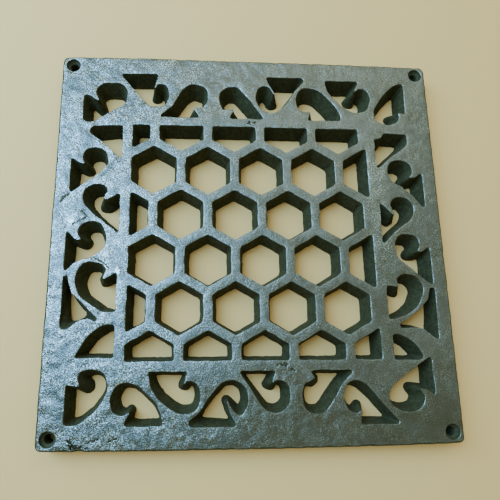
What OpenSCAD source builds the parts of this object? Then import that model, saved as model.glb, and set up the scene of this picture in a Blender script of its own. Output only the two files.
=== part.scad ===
// Cast ventilation grille: a square plate with a drafted honeycomb in the middle,
// scroll openings around it and four countersunk fixing holes.
// Lengths in mm. The plate lies on its back: the face looks up (+Z), X runs to the right and
// Y to the top of the face. The origin is at the middle of the back.

/* [Plate] */
// Width of the plate
plate_w = 229.5; // [200:0.5:300]
// Height of the plate
plate_h = 233.5; // [200:0.5:300]
// Thickness of the casting
plate_t = 11; // [6:0.5:20]
// Radius of the plate's four outer corners
plate_corner_r = 3; // [0.5:0.5:6]

/* [Fixing holes] */
// Distance of the holes' centres from the side edges
hole_from_side = 6.5; // [5.5:0.1:8]
// Distance of the holes' centres from the top and bottom edges
hole_from_top = 7; // [5.5:0.1:9]
// Diameter of the through hole, for a No. 8 screw
hole_d = 5; // [3:0.1:6]
// Diameter of the countersink at the face
sink_d = 8.6; // [7:0.1:10]
// Depth of the countersink
sink_depth = 2.5; // [1:0.1:5]

/* [Honeycomb] */
// Width of the field that the cells fill
field_w = 143; // [110:1:150]
// Height of the field
field_h = 141; // [110:1:150]
// How far the field sits to the right of the middle
field_shift = 0.7; // [-3:0.1:3]
// Distance between the centres of neighbouring cells
cell_pitch = 31.9; // [20:0.1:45]
// Width of the bars between cells, at the face
cell_bar = 5.1; // [3:0.1:8]
// Corner radius of the cells at the face
cell_corner_r = 1; // [0.4:0.1:2]
// How much each wall of a cell comes in from the face to the back
cell_inset = 2.3; // [0.2:0.1:3]

/* [Scroll openings] */
// Solid margin between the plate's left edge and the scrolls
margin_left = 8.8; // [5:0.1:16]
// Margin at the right edge
margin_right = 8; // [5:0.1:16]
// Margin at the top edge
margin_top = 11.1; // [5:0.1:16]
// Margin at the bottom edge
margin_bottom = 11.6; // [5:0.1:16]
// Width of the upright bars between the field and the scrolls
side_bar = 5.6; // [3:0.1:10]
// Width of the level bars between the field and the scrolls
level_bar = 5.4; // [3:0.1:10]
// How much a straight wall of a scroll comes in from the face to the back
scroll_inset = 2.5; // [0.2:0.1:2.8]
// How many times that inset the wall has round a lobe
lobe_lean = 1.5; // [1:0.1:1.7]
// How many times that inset the wall has at the tip of a hook
hook_lean = 1.9; // [1:0.1:2.2]

/* [Hidden] */

// A corner rounder than this belongs to a lobe
LOBE_R = 2;
// Largest angle between the points of an arc, on a lobe and on a tighter corner
LOBE_STEP = 18;
CORNER_STEP = 32;
// No corner is sharper than this
LEAST_R = 0.3;
// Factor by which an inset is lessened at a time in an opening that is too narrow for it
INSET_STEP = 0.85;
// Smallest cell that is still opened at the field's edge, in mm2 at the back
LEAST_CELL = 20;
// How far the cutting shapes run past the two faces
OVER = 0.5;

field_left = field_shift - field_w / 2;
field_right = field_shift + field_w / 2;
field_top = field_h / 2;
row_pitch = cell_pitch * sin(60);
cell_across = cell_pitch - cell_bar;
fixing_x = plate_w / 2 - hole_from_side;
fixing_y = plate_h / 2 - hole_from_top;

// The scroll outlines, each a list of corners [x, y, corner radius], anticlockwise. A fourth
// value changes how far the wall comes in at that corner: it is the share of its usual inset
// there. A hook whose back leans to one side has two corners at its tip.
// Along the top, from left to right
TOP_SCROLLS = [
    [[-80, 105, 0.9], [-69.5, 91.5, 12], [-62.5, 83, 5], [-52.5, 83, 5], [-49.5, 89.5, 5],
     [-51, 98.5, 4], [-57, 98.5, 1.5], [-58.1, 95.5, 0.3, 0.8], [-58.9, 95.7, 0.3, 0.7],
     [-56.5, 105.5, 0.9]],
    [[-57, 76, 1], [-30.5, 76, 0.8], [-35, 82.5, 0.7], [-29, 83.5, 1.2], [-26, 88, 6], [-26, 96, 4.5],
     [-35.5, 100, 6], [-42, 95, 12], [-48, 83.5, 8]],
    [[-13, 76, 0.9], [9, 76, 1], [0.5, 88.5, 20], [-7.5, 98, 4], [-14, 98, 5], [-19, 93.5, 5],
     [-19, 86.5, 5], [-16.5, 81.5, 1.5], [-9.5, 83, 0.7]],
    [[10.5, 105.5, 1], [12.5, 100, 6], [15.9, 93.6, 0.3, 0.6], [15.1, 93.4, 0.3, 0.8], [12.6, 99, 3],
     [5.5, 99.5, 4.5], [3.5, 90, 6], [7, 82, 5], [15.5, 80, 5], [21.5, 85, 10], [29.5, 97, 8],
     [37, 105.5, 1.8]],
    [[36, 76, 0.8], [57.5, 76, 2], [56.5, 82.5, 8], [51.5, 89.5, 20], [43, 98.5, 10], [32, 98.5, 6],
     [29, 91.5, 6], [30, 83.5, 5], [34, 81.5, 3], [38.5, 82, 0.6]],
    [[48, 104, 1], [49.5, 96.5, 10], [58, 86, 20], [67.5, 81, 7], [74.5, 84, 6], [77.5, 91.5, 6],
     [75.5, 99, 5], [69.5, 99, 1], [67.9, 96.8, 0.3], [67.1, 97.2, 0.3], [70.5, 104, 0.9]],
];
// Down the right side
RIGHT_SCROLLS = [
    [[84, 68.5, 1.5], [81.5, 65, 1.5], [77.5, 64, 0.8], [77.5, 43, 1.2], [84.5, 50, 15], [99, 61, 5],
     [99, 68, 0.9]],
    [[106.5, 43, 1], [101.5, 39, 4], [97.5, 39, 0.6, 0.85], [100.5, 42, 3], [100, 48.5, 6], [93, 51, 8],
     [86, 49.5, 6], [83.5, 42, 6], [87, 36, 10], [96, 30.5, 20], [106.5, 18, 1]],
    [[77.5, 23.5, 0.9], [77.5, -4.5, 1.2], [86.5, 5, 15], [98, 13, 9], [99.5, 21, 7], [95, 26, 6],
     [87, 26.5, 5], [83.5, 21.5, 3], [86.5, 15.6, 0.5, 0.9], [85.6, 14.9, 0.5, 0.8]],
    [[106.5, -4, 1], [101.5, -8, 4], [98, -7.5, 0.6], [100.5, -4.5, 3], [100, 2, 6], [93, 3, 8],
     [87, 3, 6], [84.5, -3.5, 5], [86, -11.5, 6], [97, -21, 40], [106.5, -29, 1]],
    [[77.5, -28, 0.8], [77.5, -48, 1], [88, -46.5, 20], [96.5, -39.5, 12], [100.5, -30.5, 8],
     [97.5, -22, 8], [87.5, -21, 6], [84, -24, 1.2], [85, -29, 0.6, 1.8]],
    [[107, -29.5, 0.8, 0.25], [104, -29.5, 0.8, 0.25], [102, -37, 12], [93, -45, 30], [77.5, -54, 1.7],
     [97, -52, 12], [106.5, -60.5, 1.1]],
    [[78.5, -56, 1.4], [79, -70.5, 0.6], [97.5, -70.5, 1.8], [91.5, -60.5, 12], [83, -56, 6]],
];
// Along the bottom, from right to left
BOTTOM_SCROLLS = [
    [[57.5, -81, 8], [51.5, -81.5, 6], [48, -90, 6], [50.5, -98, 4.5], [56, -99, 2],
     [58.8, -96.3, 0.5, 1.4], [57, -105, 1], [80, -105, 1], [66.5, -89.5, 40], [62.5, -84, 5]],
    [[29.5, -75.5, 1], [33, -79.5, 0.5, 0.85], [32.5, -80.2, 0.5, 1.5], [27, -82.5, 2.5], [25, -90, 6],
     [27.5, -99, 7], [37.5, -99, 6], [44.5, -89.5, 20], [48.5, -82.5, 8], [56, -75.5, 1.1]],
    [[-9, -75.5, 0.8], [1.5, -92, 30], [5.5, -97.5, 6], [14.5, -98.5, 7], [19, -92.5, 6],
     [18.5, -83, 6], [14.5, -80.5, 4], [11, -80.6, 1.5], [10, -82.3, 0.4, 1.1],
     [9.2, -82, 0.4, 1.1], [11.5, -75.5, 1]],
    [[-41.5, -105, 2.2], [-10.5, -105, 1], [-14, -98, 8], [-15.8, -92, 0.4, 0.7], [-15.2, -91.6, 0.4, 0.4],
     [-12.5, -96.5, 5], [-8.5, -101, 2.5], [-3.5, -92.5, 7], [-5.5, -83.5, 7], [-11, -80.5, 6],
     [-17.5, -80.5, 6], [-26, -89.5, 25], [-30, -97, 8]],
    [[-58.5, -75.5, 1], [-56.5, -85.5, 12], [-50, -93, 25], [-42, -98, 8], [-32.5, -98, 6],
     [-29.5, -89, 6], [-31.5, -80.5, 5], [-37.4, -80.6, 1.5], [-38.1, -82.3, 0.4], [-38.9, -82, 0.4],
     [-37, -75.5, 1]],
    [[-64.5, -81.5, 8], [-75, -81, 7], [-78.5, -90, 6], [-76, -98, 5], [-70.5, -98.5, 2],
     [-67.9, -96.4, 0.5, 1.6], [-67.3, -96.8, 0.5, 0.3], [-71, -104, 1.2], [-49.5, -104, 1.2],
     [-52.5, -93, 12]],
];
// Up the left side
LEFT_SCROLLS = [
    [[-77, -50, 1.2], [-83, -50, 6], [-90.5, -55, 12], [-98, -68, 0.8], [-77, -68, 0.6]],
    [[-106, -22.5, 0.8, 0.25], [-106, -53.5, 1.5], [-101.5, -52.5, 4], [-94, -46, 7],
     [-84, -49.5, 0.9], [-93.5, -39.5, 30], [-102, -31.5, 12], [-103.5, -22.5, 0.8, 0.25]],
    [[-77, -20, 1], [-84, -25.1, 0.5, 0.4], [-84.6, -24.5, 0.5, 1.6], [-83, -19.5, 1, 1.8],
     [-85.5, -15, 5], [-96.5, -14.5, 7], [-100.5, -25, 10], [-97, -34.5, 10], [-85, -43, 10],
     [-77, -43.5, 1.6]],
    [[-106, 4, 0.8], [-106, -22, 1.1], [-100.5, -15.5, 8], [-89.5, -11, 10], [-84.5, -7, 6],
     [-83.5, 0.5, 8], [-86.5, 8.5, 6], [-92.5, 9.5, 6], [-98, 8.5, 6], [-100, 1.5, 2.5],
     [-97.5, -1.5, 0.5], [-97.8, -2.1, 0.5, 0.6], [-101, -1.5, 5]],
    [[-77, 27, 1], [-84.3, 22.4, 2], [-86, 23, 0.6, 1.2], [-85.8, 25.3, 0.6, 0.85], [-84, 26.8, 1, 0.9],
     [-85, 31.5, 5, 0.8], [-96.5, 32.5, 8], [-99, 23, 9], [-94.5, 15.5, 20], [-87, 10, 20], [-77, 1.5, 0.9]],
    [[-106, 49, 0.8], [-106, 25, 1.2], [-100, 31, 8], [-91.5, 36.5, 20], [-84.5, 44.5, 6],
     [-85.5, 53, 6], [-93, 56, 5], [-99.5, 53, 5], [-99.5, 48, 2], [-97.5, 44.5, 0.6], [-101, 45, 5]],
    [[-77, 70, 0.8], [-94, 69.5, 3], [-97.5, 66, 2], [-91.5, 61, 10], [-77, 47.5, 1]],
];
// In the corners, clockwise from the top left
CORNER_SCROLLS = [
    [[-101, 90.5, 1.6], [-101, 71.5, 3], [-95.5, 71.5, 3], [-75.5, 85, 4], [-75, 98.5, 6.5],
     [-94, 98.5, 7], [-94, 91.5, 3, 0.8], [-91, 84, 0.6, 0.6], [-96, 89, 2]],
    [[100, 103.5, 1.5], [93.5, 102.5, 10], [83, 92, 25], [78.5, 83.5, 4], [79.5, 76, 5], [87, 74, 8],
     [94.5, 76, 5], [95.4, 80.7, 2], [94.8, 82.4, 0.4], [95.3, 82.8, 0.4, 1.5], [99.5, 82, 0.8]],
    [[100.5, -68, 1], [81, -81, 30], [74, -87, 7], [74.5, -95.5, 6], [84, -99.5, 12], [93, -97, 7],
     [95, -90.5, 3], [92, -86.5, 0.6, 0.85], [96.5, -86.5, 4], [101, -91, 0.8]],
    [[-101, -82, 0.8], [-101, -103, 1.8], [-93.5, -103, 8], [-83, -94, 20], [-79, -84.5, 7],
     [-80.5, -76, 6], [-88.5, -73.5, 6], [-94.5, -75, 3.5], [-95, -79.5, 2.5], [-93.8, -82, 0.5, 1.4],
     [-94.2, -82.6, 0.5, 1.2]],
];

// Lowest and highest coordinate of a group of outlines, along x (0) or y (1)
function low(group, axis) = min([for (s = group, p = s) p[axis]]);
function high(group, axis) = max([for (s = group, p = s) p[axis]]);

// The drawn outlines follow the plate's edges and the field's. Each band of scrolls fills what
// its margin and its bar leave.
PLACE_X = [
    [low(LEFT_SCROLLS, 0), margin_left - plate_w / 2], [high(LEFT_SCROLLS, 0), field_left - side_bar],
    [low(RIGHT_SCROLLS, 0), field_right + side_bar], [high(RIGHT_SCROLLS, 0), plate_w / 2 - margin_right]];
PLACE_Y = [
    [low(BOTTOM_SCROLLS, 1), margin_bottom - plate_h / 2], [high(BOTTOM_SCROLLS, 1), -field_top - level_bar],
    [low(TOP_SCROLLS, 1), field_top + level_bar], [high(TOP_SCROLLS, 1), plate_h / 2 - margin_top]];
function place(p) = [lookup(p.x, PLACE_X), lookup(p.y, PLACE_Y), p[2], len(p) > 3 ? p[3] : 1];
SCROLLS = [for (group = [TOP_SCROLLS, RIGHT_SCROLLS, BOTTOM_SCROLLS, LEFT_SCROLLS, CORNER_SCROLLS],
                s = group) [for (p = s) place(p)]];

// Vectors in the plane
function flat(p) = [p.x, p.y];
function unit(v) = v / norm(v);
function left_of(v) = [-v.y, v.x];
function turn(a, b) = atan2(a.x * b.y - a.y * b.x, a * b);
function turned(v, a) = [v.x * cos(a) - v.y * sin(a), v.x * sin(a) + v.y * cos(a)];

// Direction of the side that leaves corner i of the outline c
function side(c, i) = let (n = len(c)) unit(flat(c[(i + 1) % n]) - flat(c[(i + n) % n]));
function turn_at(c, i) = turn(side(c, i - 1), side(c, i));

// Inset at corner i, as a multiple of the inset of a straight wall
function lean(c, i) = c[i][3] * (turn_at(c, i) > 0 ? (c[i][2] > LOBE_R ? lobe_lean : 1)
                                                   : (c[i][2] > LOBE_R ? 1 : hook_lean));

// The outline c with its corners moved in and their radii changed to suit. A hook grows longer
// than it grows wide.
function moved(c, inset) = [for (i = [0 : len(c) - 1])
    let (a = left_of(side(c, i - 1)), b = left_of(side(c, i)), d = inset * lean(c, i),
         p = flat(c[i]) + d * (a + b) / (1 + a * b),
         r = c[i][2] + (turn_at(c, i) > 0 ? -d : c[i][2] > LOBE_R ? d : inset))
    [p.x, p.y, max(r, LEAST_R), c[i][3]]];

// Length from corner i to where its arc begins
function run_in(c, i) = c[i][2] * tan(abs(turn_at(c, i)) / 2);

// Share of that length which the side after corner i has room for
function room(c, i) = let (n = len(c), j = (i + 1) % n, k = (i + n) % n)
    norm(flat(c[j]) - flat(c[k])) / max(run_in(c, j) + run_in(c, k), LEAST_R / 10);

// Points in the arc at corner i, counted on the outline at the face so that all rings match
function arc_steps(c, i) =
    max(1, ceil(abs(turn_at(c, i)) / (c[i][2] > LOBE_R ? LOBE_STEP : CORNER_STEP)));

// The outline c as points, with an arc of the given number of steps at each corner
function rounded(c, steps) = [for (i = [0 : len(c) - 1])
    let (a = side(c, i - 1), t = turn_at(c, i), s = min(1, room(c, i), room(c, i - 1)),
         arm = left_of(a) * c[i][2] * s * sign(t),
         centre = flat(c[i]) - a * run_in(c, i) * s + arm)
    for (j = [0 : steps[i]]) centre - turned(arm, t * j / steps[i])];

// The part of polygon p on the near side of the line n . x = m
function clipped(p, n, m) = [for (i = [0 : len(p) - 1])
    let (a = p[i], b = p[(i + 1) % len(p)], u = n * a - m, v = n * b - m)
    each concat(u <= 0 ? [a] : [], u * v < 0 ? [a + (b - a) * u / (u - v)] : [])];

// The part of polygon p inside the field, whose edges come in by the given inset
function in_field(p, inset) =
    clipped(clipped(clipped(clipped(p, [1, 0], field_right - inset), [-1, 0], -field_left - inset),
        [0, 1], field_top - inset), [0, -1], field_top - inset);

// The cell with centre p at the back, where its sides have come in
function cell_back(p) = let (c = in_field([for (k = [0 : 5])
        p + (cell_across - 2 * cell_inset) / sqrt(3) * [cos(60 * k + 30), sin(60 * k + 30)]], cell_inset))
    len(c) < 3 ? [] : [for (i = [0 : len(c) - 1]) if (norm(c[i] - c[(i + 1) % len(c)]) > LEAST_R) c[i]];

function area(p) = len(p) < 3 ? 0
    : let (parts = [for (i = [0 : len(p) - 1]) let (q = p[(i + 1) % len(p)]) p[i].x * q.y - p[i].y * q.x])
    [for (k = parts) 1 / 2] * parts;

// The openings of the honeycomb: in every second row the first cell touches the field's left
// edge, and the rows are centred on its height. Each outline is found at the back first and then
// moved out to the face, so that a side that the field's edge leaves too short drops out.
rows = ceil(field_h / row_pitch / 2) + 1;
columns = ceil(field_w / cell_pitch) + 1;
CELLS = [for (row = [-rows : rows], column = [-1 : columns])
    let (x = field_left + cell_across / 2 + cell_pitch * (column + (row % 2 == 0 ? 0 : 0.5)),
         back = cell_back([x, -row_pitch * (row + 0.5)]))
    if (area(back) > LEAST_CELL)
        moved([for (p = back) [p.x, p.y, cell_corner_r - cell_inset, 1]], -cell_inset)];

// Whether every side of the outline c keeps its direction when the walls come in
function holds(c, inset) = let (m = moved(c, inset))
    min([for (i = [0 : len(c) - 1]) side(m, i) * side(c, i)]) > 0;

// The inset of the outline c, lessened where the opening is too narrow for all of it
function fitted(c, inset) =
    inset < LEAST_R || holds(c, inset) ? inset : fitted(c, inset * INSET_STEP);

// Solid that fills an opening and runs past both faces. Each end closes to a point, which
// works for a hooked outline too.
module opening(c, inset) {
    steps = [for (i = [0 : len(c) - 1]) arc_steps(c, i)];
    slope = fitted(c, inset) / plate_t;
    front = rounded(moved(c, -slope * OVER), steps);
    back = rounded(moved(c, slope * (plate_t + OVER)), steps);
    n = len(front);
    middle = [for (axis = [0, 1]) (min([for (p = back) p[axis]]) + max([for (p = back) p[axis]])) / 2];
    polyhedron(
        concat([for (p = front) [p.x, p.y, plate_t + OVER]],
               [for (p = back) [p.x, p.y, -OVER]],
               [[middle.x, middle.y, plate_t + 2 * OVER], [middle.x, middle.y, -2 * OVER]]),
        [for (i = [0 : n - 1]) let (j = (i + 1) % n)
            each [[i, j, n + i], [j, n + j, n + i], [j, i, 2 * n], [n + i, n + j, 2 * n + 1]]]);
}

module plate() {
    corners = [for (s = [[-1, -1], [1, -1], [1, 1], [-1, 1]])
        [s.x * plate_w / 2, s.y * plate_h / 2, plate_corner_r, 1]];
    linear_extrude(plate_t) polygon(rounded(corners, [for (c = corners) 6]));
}

module fixing_hole() {
    translate([0, 0, -OVER]) cylinder(d = hole_d, h = plate_t + 2 * OVER, $fn = 48);
    widen = (sink_d - hole_d) / sink_depth;
    translate([0, 0, plate_t - sink_depth])
        cylinder(d1 = hole_d, d2 = sink_d + widen * OVER, h = sink_depth + OVER, $fn = 48);
}

module grille() {
    color("dimgray") difference() {
        plate();
        for (c = CELLS) opening(c, cell_inset);
        for (s = SCROLLS) opening(s, scroll_inset);
        for (x = [-fixing_x, fixing_x], y = [-fixing_y, fixing_y]) translate([x, y]) fixing_hole();
    }
}

grille();
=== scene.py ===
"""Stands a sand-cast iron ventilation grille on a pale floor, round the openings of the CAD frame.

The casting is one closed surface. Each opening's outline is taken from the frame at the face and at
the back, and a profile with a rounded lip is carried along it. The face between the lips is a net of
triangles with the hollows, carved lines, cracks and bosses that sand and hand work leave. Lengths are
worked out in millimetres and written to the mesh in metres.
"""

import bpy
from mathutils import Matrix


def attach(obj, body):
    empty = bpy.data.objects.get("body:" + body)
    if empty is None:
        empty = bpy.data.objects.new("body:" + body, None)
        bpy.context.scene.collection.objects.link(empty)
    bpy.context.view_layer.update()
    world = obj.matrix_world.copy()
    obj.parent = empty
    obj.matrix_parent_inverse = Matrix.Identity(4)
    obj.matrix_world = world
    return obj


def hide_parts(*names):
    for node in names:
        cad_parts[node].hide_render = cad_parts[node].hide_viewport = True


bl_info = {
    "name": "Cast Ventilation Grille",
    "version": (1, 0, 0),
    "blender": (4, 5, 0),
    "location": "3D View > Sidebar > Grille",
    "description": "Builds a sand-cast iron grille with a hand-worked face and an antique finish",
    "category": "Add Mesh",
}

import bpy
import numpy as np
from bpy.props import FloatProperty, FloatVectorProperty, IntProperty, PointerProperty
from mathutils import Euler, Vector
from mathutils.geometry import delaunay_2d_cdt

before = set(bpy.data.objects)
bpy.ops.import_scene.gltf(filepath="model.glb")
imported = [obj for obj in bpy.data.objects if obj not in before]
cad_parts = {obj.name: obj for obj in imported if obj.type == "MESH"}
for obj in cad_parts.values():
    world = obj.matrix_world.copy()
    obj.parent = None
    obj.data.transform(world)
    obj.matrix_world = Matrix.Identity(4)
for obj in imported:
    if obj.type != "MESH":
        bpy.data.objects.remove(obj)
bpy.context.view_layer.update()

MM = 0.001
PLATE = "grille"
PIECE = "cast_grille"


def length_value(name, description, size, least, most):
    """A property for a length, with its size and limits in mm."""
    return FloatProperty(
        name=name, description=description, default=size * MM, min=least * MM, max=most * MM,
        unit="LENGTH", precision=5)


def colour_value(name, description, colour):
    """A property for a colour."""
    return FloatVectorProperty(
        name=name, description=description, default=colour, subtype="COLOR", size=3, min=0, max=1)


class CastingSizes(bpy.types.PropertyGroup):
    """Sizes of the casting's lips, hollows and net."""

    lip: length_value("Lip radius", "Rounding where the face meets an opening", 0.36, 0.1, 1.5)
    rim: length_value("Rim radius", "Rounding where the face meets the plate's edge", 1.2, 0.1, 2)
    back_lip: length_value("Back lip radius", "Rounding where a wall meets the back", 0.35, 0.1, 1)
    bow: length_value("Bow", "How far the top and bottom edges fall back at the corners", 0.95, 0, 3)
    crown: length_value("Crown", "How far the face falls towards each lip", 0.1, 0, 0.5)
    hollow: length_value("Hollows", "Depth of the broad hollows that rammed sand leaves", 0.32, 0, 1)
    wobble: length_value("Wobble", "How far a hand-carved outline strays from the drawn one", 0.1, 0, 0.5)
    rag: length_value("Rag", "How far an opening's back edge strays where sand broke away", 0.16, 0, 0.8)
    face_step: length_value("Face step", "Distance between the points of the face's net", 1.0, 0.8, 6)
    back_step: length_value("Back step", "Distance between the points of the back's net", 3.2, 1, 10)
    seed: IntProperty(
        name="Seed", description="Picks another set of chance hollows and wobbles", default=7, min=0)


class FinishLook(bpy.types.PropertyGroup):
    """Colours and gloss of the antique iron finish, with the painted reflection, glints, highlights and
    shade that some of them give.
    """

    iron: colour_value("Iron", "Burnished graphite on the face", (0.165, 0.18, 0.165))
    # Painted reflection: a bluer, darker tint towards the left stands in for the cool window light reflected
    # there
    left_reflection: colour_value("Left reflection tint", "Bluer graphite towards the left side", (0.094, 0.124, 0.136))
    # Painted glints: the bright grains stand in partly for the window light that rough grain catches, partly
    # for bared metal
    bright: colour_value("Bare iron and glints", "Grains and lips that rubbing has bared", (0.60, 0.72, 0.72))
    # Painted highlight: near-white bosses stand in for the light that their polished tops catch
    polished: colour_value("Polished iron", "Bosses that the wheel has polished", (0.95, 1.0, 1.0))
    brown: colour_value("Browned iron", "Patches that kept a little rust under the wax", (0.12, 0.12, 0.09))
    # The walls' black is their unpolished finish and also painted shade inside the openings and holes, along
    # the rim, in cracks and at the bottom margin
    wall_black_and_shade: colour_value("Wall black", "Unpolished walls inside the openings", (0.066, 0.068, 0.030))
    gloss: FloatProperty(
        name="Face roughness", description="Roughness of the burnished face",
        subtype="FACTOR", default=0.31, min=0, max=1)


class StageLight(bpy.types.PropertyGroup):
    """The floor's colour and the strength of the lights."""

    floor: colour_value("Floor", "Colour of the plain floor", (1.0, 0.61, 0.22))
    window: FloatProperty(
        name="Window light", description="Power of the broad cool light at the left",
        default=15.5, min=0, unit="POWER")
    skylight: FloatProperty(
        name="Skylight", description="Power of the weaker light behind the top edge",
        default=1.6, min=0, unit="POWER")
    room: FloatProperty(
        name="Room light", description="Strength of the even light of the room",
        default=0.42, min=0, max=3)


def welded(mesh):
    """The frame's loose triangles, welded where their corners share a place.

    Corners are rounded to a micrometre and like ones get one number, so that neighbours share it.
    Triangles that this leaves without three corners are dropped.
    """
    flat = np.empty(len(mesh.vertices) * 3)
    mesh.vertices.foreach_get("co", flat)
    mesh.calc_loop_triangles()
    corners = np.empty(len(mesh.loop_triangles) * 3, dtype=np.int32)
    mesh.loop_triangles.foreach_get("vertices", corners)
    places, number = np.unique(np.round(flat.reshape(-1, 3) / MM, 3), axis=0, return_inverse=True)
    corners = number.ravel()[corners].reshape(-1, 3)
    thin = (corners == np.roll(corners, 1, axis=1)).any(axis=1)
    return places, corners[~thin]


# How far off its level a corner may lie, in mm
LEVEL_SLACK = 0.005
# A step shorter than this share of the step beside it leads to a spare corner
SPARE_SHARE = 0.06


def all_edges(corners):
    """Each triangle's three edges, in the direction in which the triangle runs."""
    return np.concatenate([corners[:, [0, 1]], corners[:, [1, 2]], corners[:, [2, 0]]])


def border_rings(places, corners, level):
    """The closed borders of the flat triangles at one height, each as corner numbers in walking order.

    A border edge is one whose reverse isn't there. The stride along the ring doubles at each pass, so
    after as many passes as the count has binary digits each corner knows its ring's first corner and
    how many steps lie before it.
    """
    flat = corners[np.abs(places[corners][:, :, 2] - level).max(axis=1) < LEVEL_SLACK]
    edges = all_edges(flat).astype(np.int64)
    count = len(places)
    there = edges[:, 0] * count + edges[:, 1]
    back = edges[:, 1] * count + edges[:, 0]
    edges = edges[~np.isin(there, back)]
    edges = edges[np.argsort(edges[:, 0])]
    onward = np.searchsorted(edges[:, 0], edges[:, 1])
    here = np.arange(len(onward))
    passes = range(len(onward).bit_length())
    first = here.copy()
    stride = onward.copy()
    for _ in passes:
        first = np.minimum(first, first[stride])
        stride = stride[stride]
    at_first = first == here
    stride = np.where(at_first, here, onward)
    steps = np.where(at_first, 0, 1)
    for _ in passes:
        steps = steps + steps[stride]
        stride = stride[stride]
    steps[at_first] = len(onward) + 1
    order = np.lexsort((-steps, first))
    cuts = np.flatnonzero(np.diff(first[order])) + 1
    return np.split(edges[order, 0], cuts)


def drawn_corners(line, before):
    """The corners of a ring that come from the drawing.

    Where a wall's triangles are cut at the face or the back, their slanting edges leave a spare corner
    a short way before or after each drawn one. It is told by the short step beside it, and before says
    on which side of the drawn corner it lies.
    """
    ahead = np.abs(np.roll(line, -1) - line)
    behind = np.abs(line - np.roll(line, 1))
    return ahead > SPARE_SHARE * behind if before else behind > SPARE_SHARE * ahead


def opening_lines(places, corners):
    """Each opening as two matched outlines, at the face and at the back, and the plate's own outline.

    A wall's edges that run from the face to the back say which corners belong together. Outlines are
    complex numbers, x plus i times y, with the metal on their left. A round fixing hole has no such
    edges and is told by that.
    """
    flat = places[:, 0] + 1j * places[:, 1]
    top = places[:, 2].max()
    bottom = places[:, 2].min()
    face = border_rings(places, corners, top)
    back = [ring[::-1] for ring in border_rings(places, corners, bottom)]
    kept = np.zeros(len(places), dtype=bool)
    for ring in face:
        kept[ring[drawn_corners(flat[ring], True)]] = True
    for ring in back:
        kept[ring[drawn_corners(flat[ring], False)]] = True
    edges = all_edges(corners)
    walls = np.abs(places[edges[:, 0], 2] - top) < LEVEL_SLACK
    walls &= np.abs(places[edges[:, 1], 2] - bottom) < LEVEL_SLACK
    walls &= kept[edges].all(axis=1)
    edges = edges[walls]
    plate = max(face, key=lambda ring: np.ptp(flat[ring].real))
    openings = []
    holes = []
    for ring in face:
        if ring is plate:
            continue
        mine = edges[np.isin(edges[:, 0], ring)]
        if not len(mine):
            holes.append(flat[ring])
            continue
        gap = np.abs(flat[mine[:, 0]] - flat[mine[:, 1]])
        mine = mine[np.lexsort((gap, mine[:, 0]))]
        mine = mine[np.unique(mine[:, 0], return_index=True)[1]]
        rank = np.empty(len(places), dtype=np.int64)
        rank[ring] = np.arange(len(ring))
        mine = mine[np.argsort(rank[mine[:, 0]])]
        openings.append((flat[mine[:, 0]], flat[mine[:, 1]]))
    return openings, flat[plate], holes


# Points at which a closed outline is read
FINE = 1024
# The longest and shortest step between a wall's columns, in mm, and their greatest turn, in radians
LONGEST_STEP = 1.8
SHORTEST_STEP = 0.22
GREATEST_TURN = 0.36
# Widths of softening bells, in mm: for outlines at the face and the back, and for runs along them
PLATE_BELLS = (0.9, 0.9)
OPENING_BELLS = (0.4, 0.75)
AHEAD_BELL = 1.0
TURN_BELL = 0.3
# A chance run is divided by this many times its standard deviation
RUN_SCALE = 1.5
# The least length and squared length that are divided by
NO_LENGTH = 1e-9
NO_SQUARE = 1e-12


def softened(line, length, width):
    """A closed line of FINE points with its waves damped by a bell of that width, so corners go round."""
    wave = np.fft.fftfreq(FINE, 1 / FINE)
    bell = np.exp(-0.5 * (2 * np.pi * wave * width / length) ** 2)
    made = np.fft.ifft(np.fft.fft(line) * bell)
    return made if np.iscomplexobj(line) else made.real


def matched_lines(pair, widths):
    """Both outlines of an opening, softened, at FINE shared steps of the way round, and their length.

    Each outline is softened at even steps of its own length. Corners that belong together set how far
    round each outline is at a shared step. A third of plain even going is mixed in, so that no outline
    stands still while the other turns a corner.
    """
    even = np.arange(FINE) / FINE
    soft = []
    shares = []
    lengths = []
    for line, width in zip(pair, widths):
        closed = np.append(line, line[0])
        share = np.concatenate([[0], np.cumsum(np.abs(np.diff(closed)))])
        lengths.append(share[-1])
        share = share / share[-1]
        soft.append(softened(np.interp(even, share, closed), lengths[-1], width))
        shares.append(share)
    length = sum(lengths) / 2
    lines = []
    for line, share in zip(soft, shares):
        ahead = np.interp(even, sum(shares) / 2, share) - even
        ahead = softened(ahead, length, AHEAD_BELL)
        lines.append(read_at(line, (even + ahead * 2 / 3) % 1))
    return lines, length


def unit(arrows):
    """Arrows brought to length 1."""
    return arrows / np.maximum(np.abs(arrows), NO_LENGTH)


def in_box(at, ring, reach=0):
    """Whether each place is in the upright box round a ring's points, made wider by reach on each side."""
    box = (at.real > ring.real.min() - reach) & (at.real < ring.real.max() + reach)
    return box & (at.imag > ring.imag.min() - reach) & (at.imag < ring.imag.max() + reach)


def metal_side(line):
    """The unit direction across a closed line, towards the metal on its left."""
    return 1j * unit(np.roll(line, -1) - np.roll(line, 1))


def chance_line(rng, length, shortest, longest):
    """A closed run of chance waves between two wavelengths, about 1 in height."""
    low = max(1, int(round(length / longest)))
    high = max(low + 1, int(round(length / shortest)))
    wave = np.arange(low, high + 1)[:, None]
    phase = rng.uniform(0, 2 * np.pi, (len(wave), 1))
    size = rng.normal(0, 1, (len(wave), 1))
    run = (size * np.sin(2 * np.pi * wave * np.arange(FINE) / FINE + phase)).sum(axis=0)
    return run / (RUN_SCALE * run.std() + NO_LENGTH)


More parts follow.
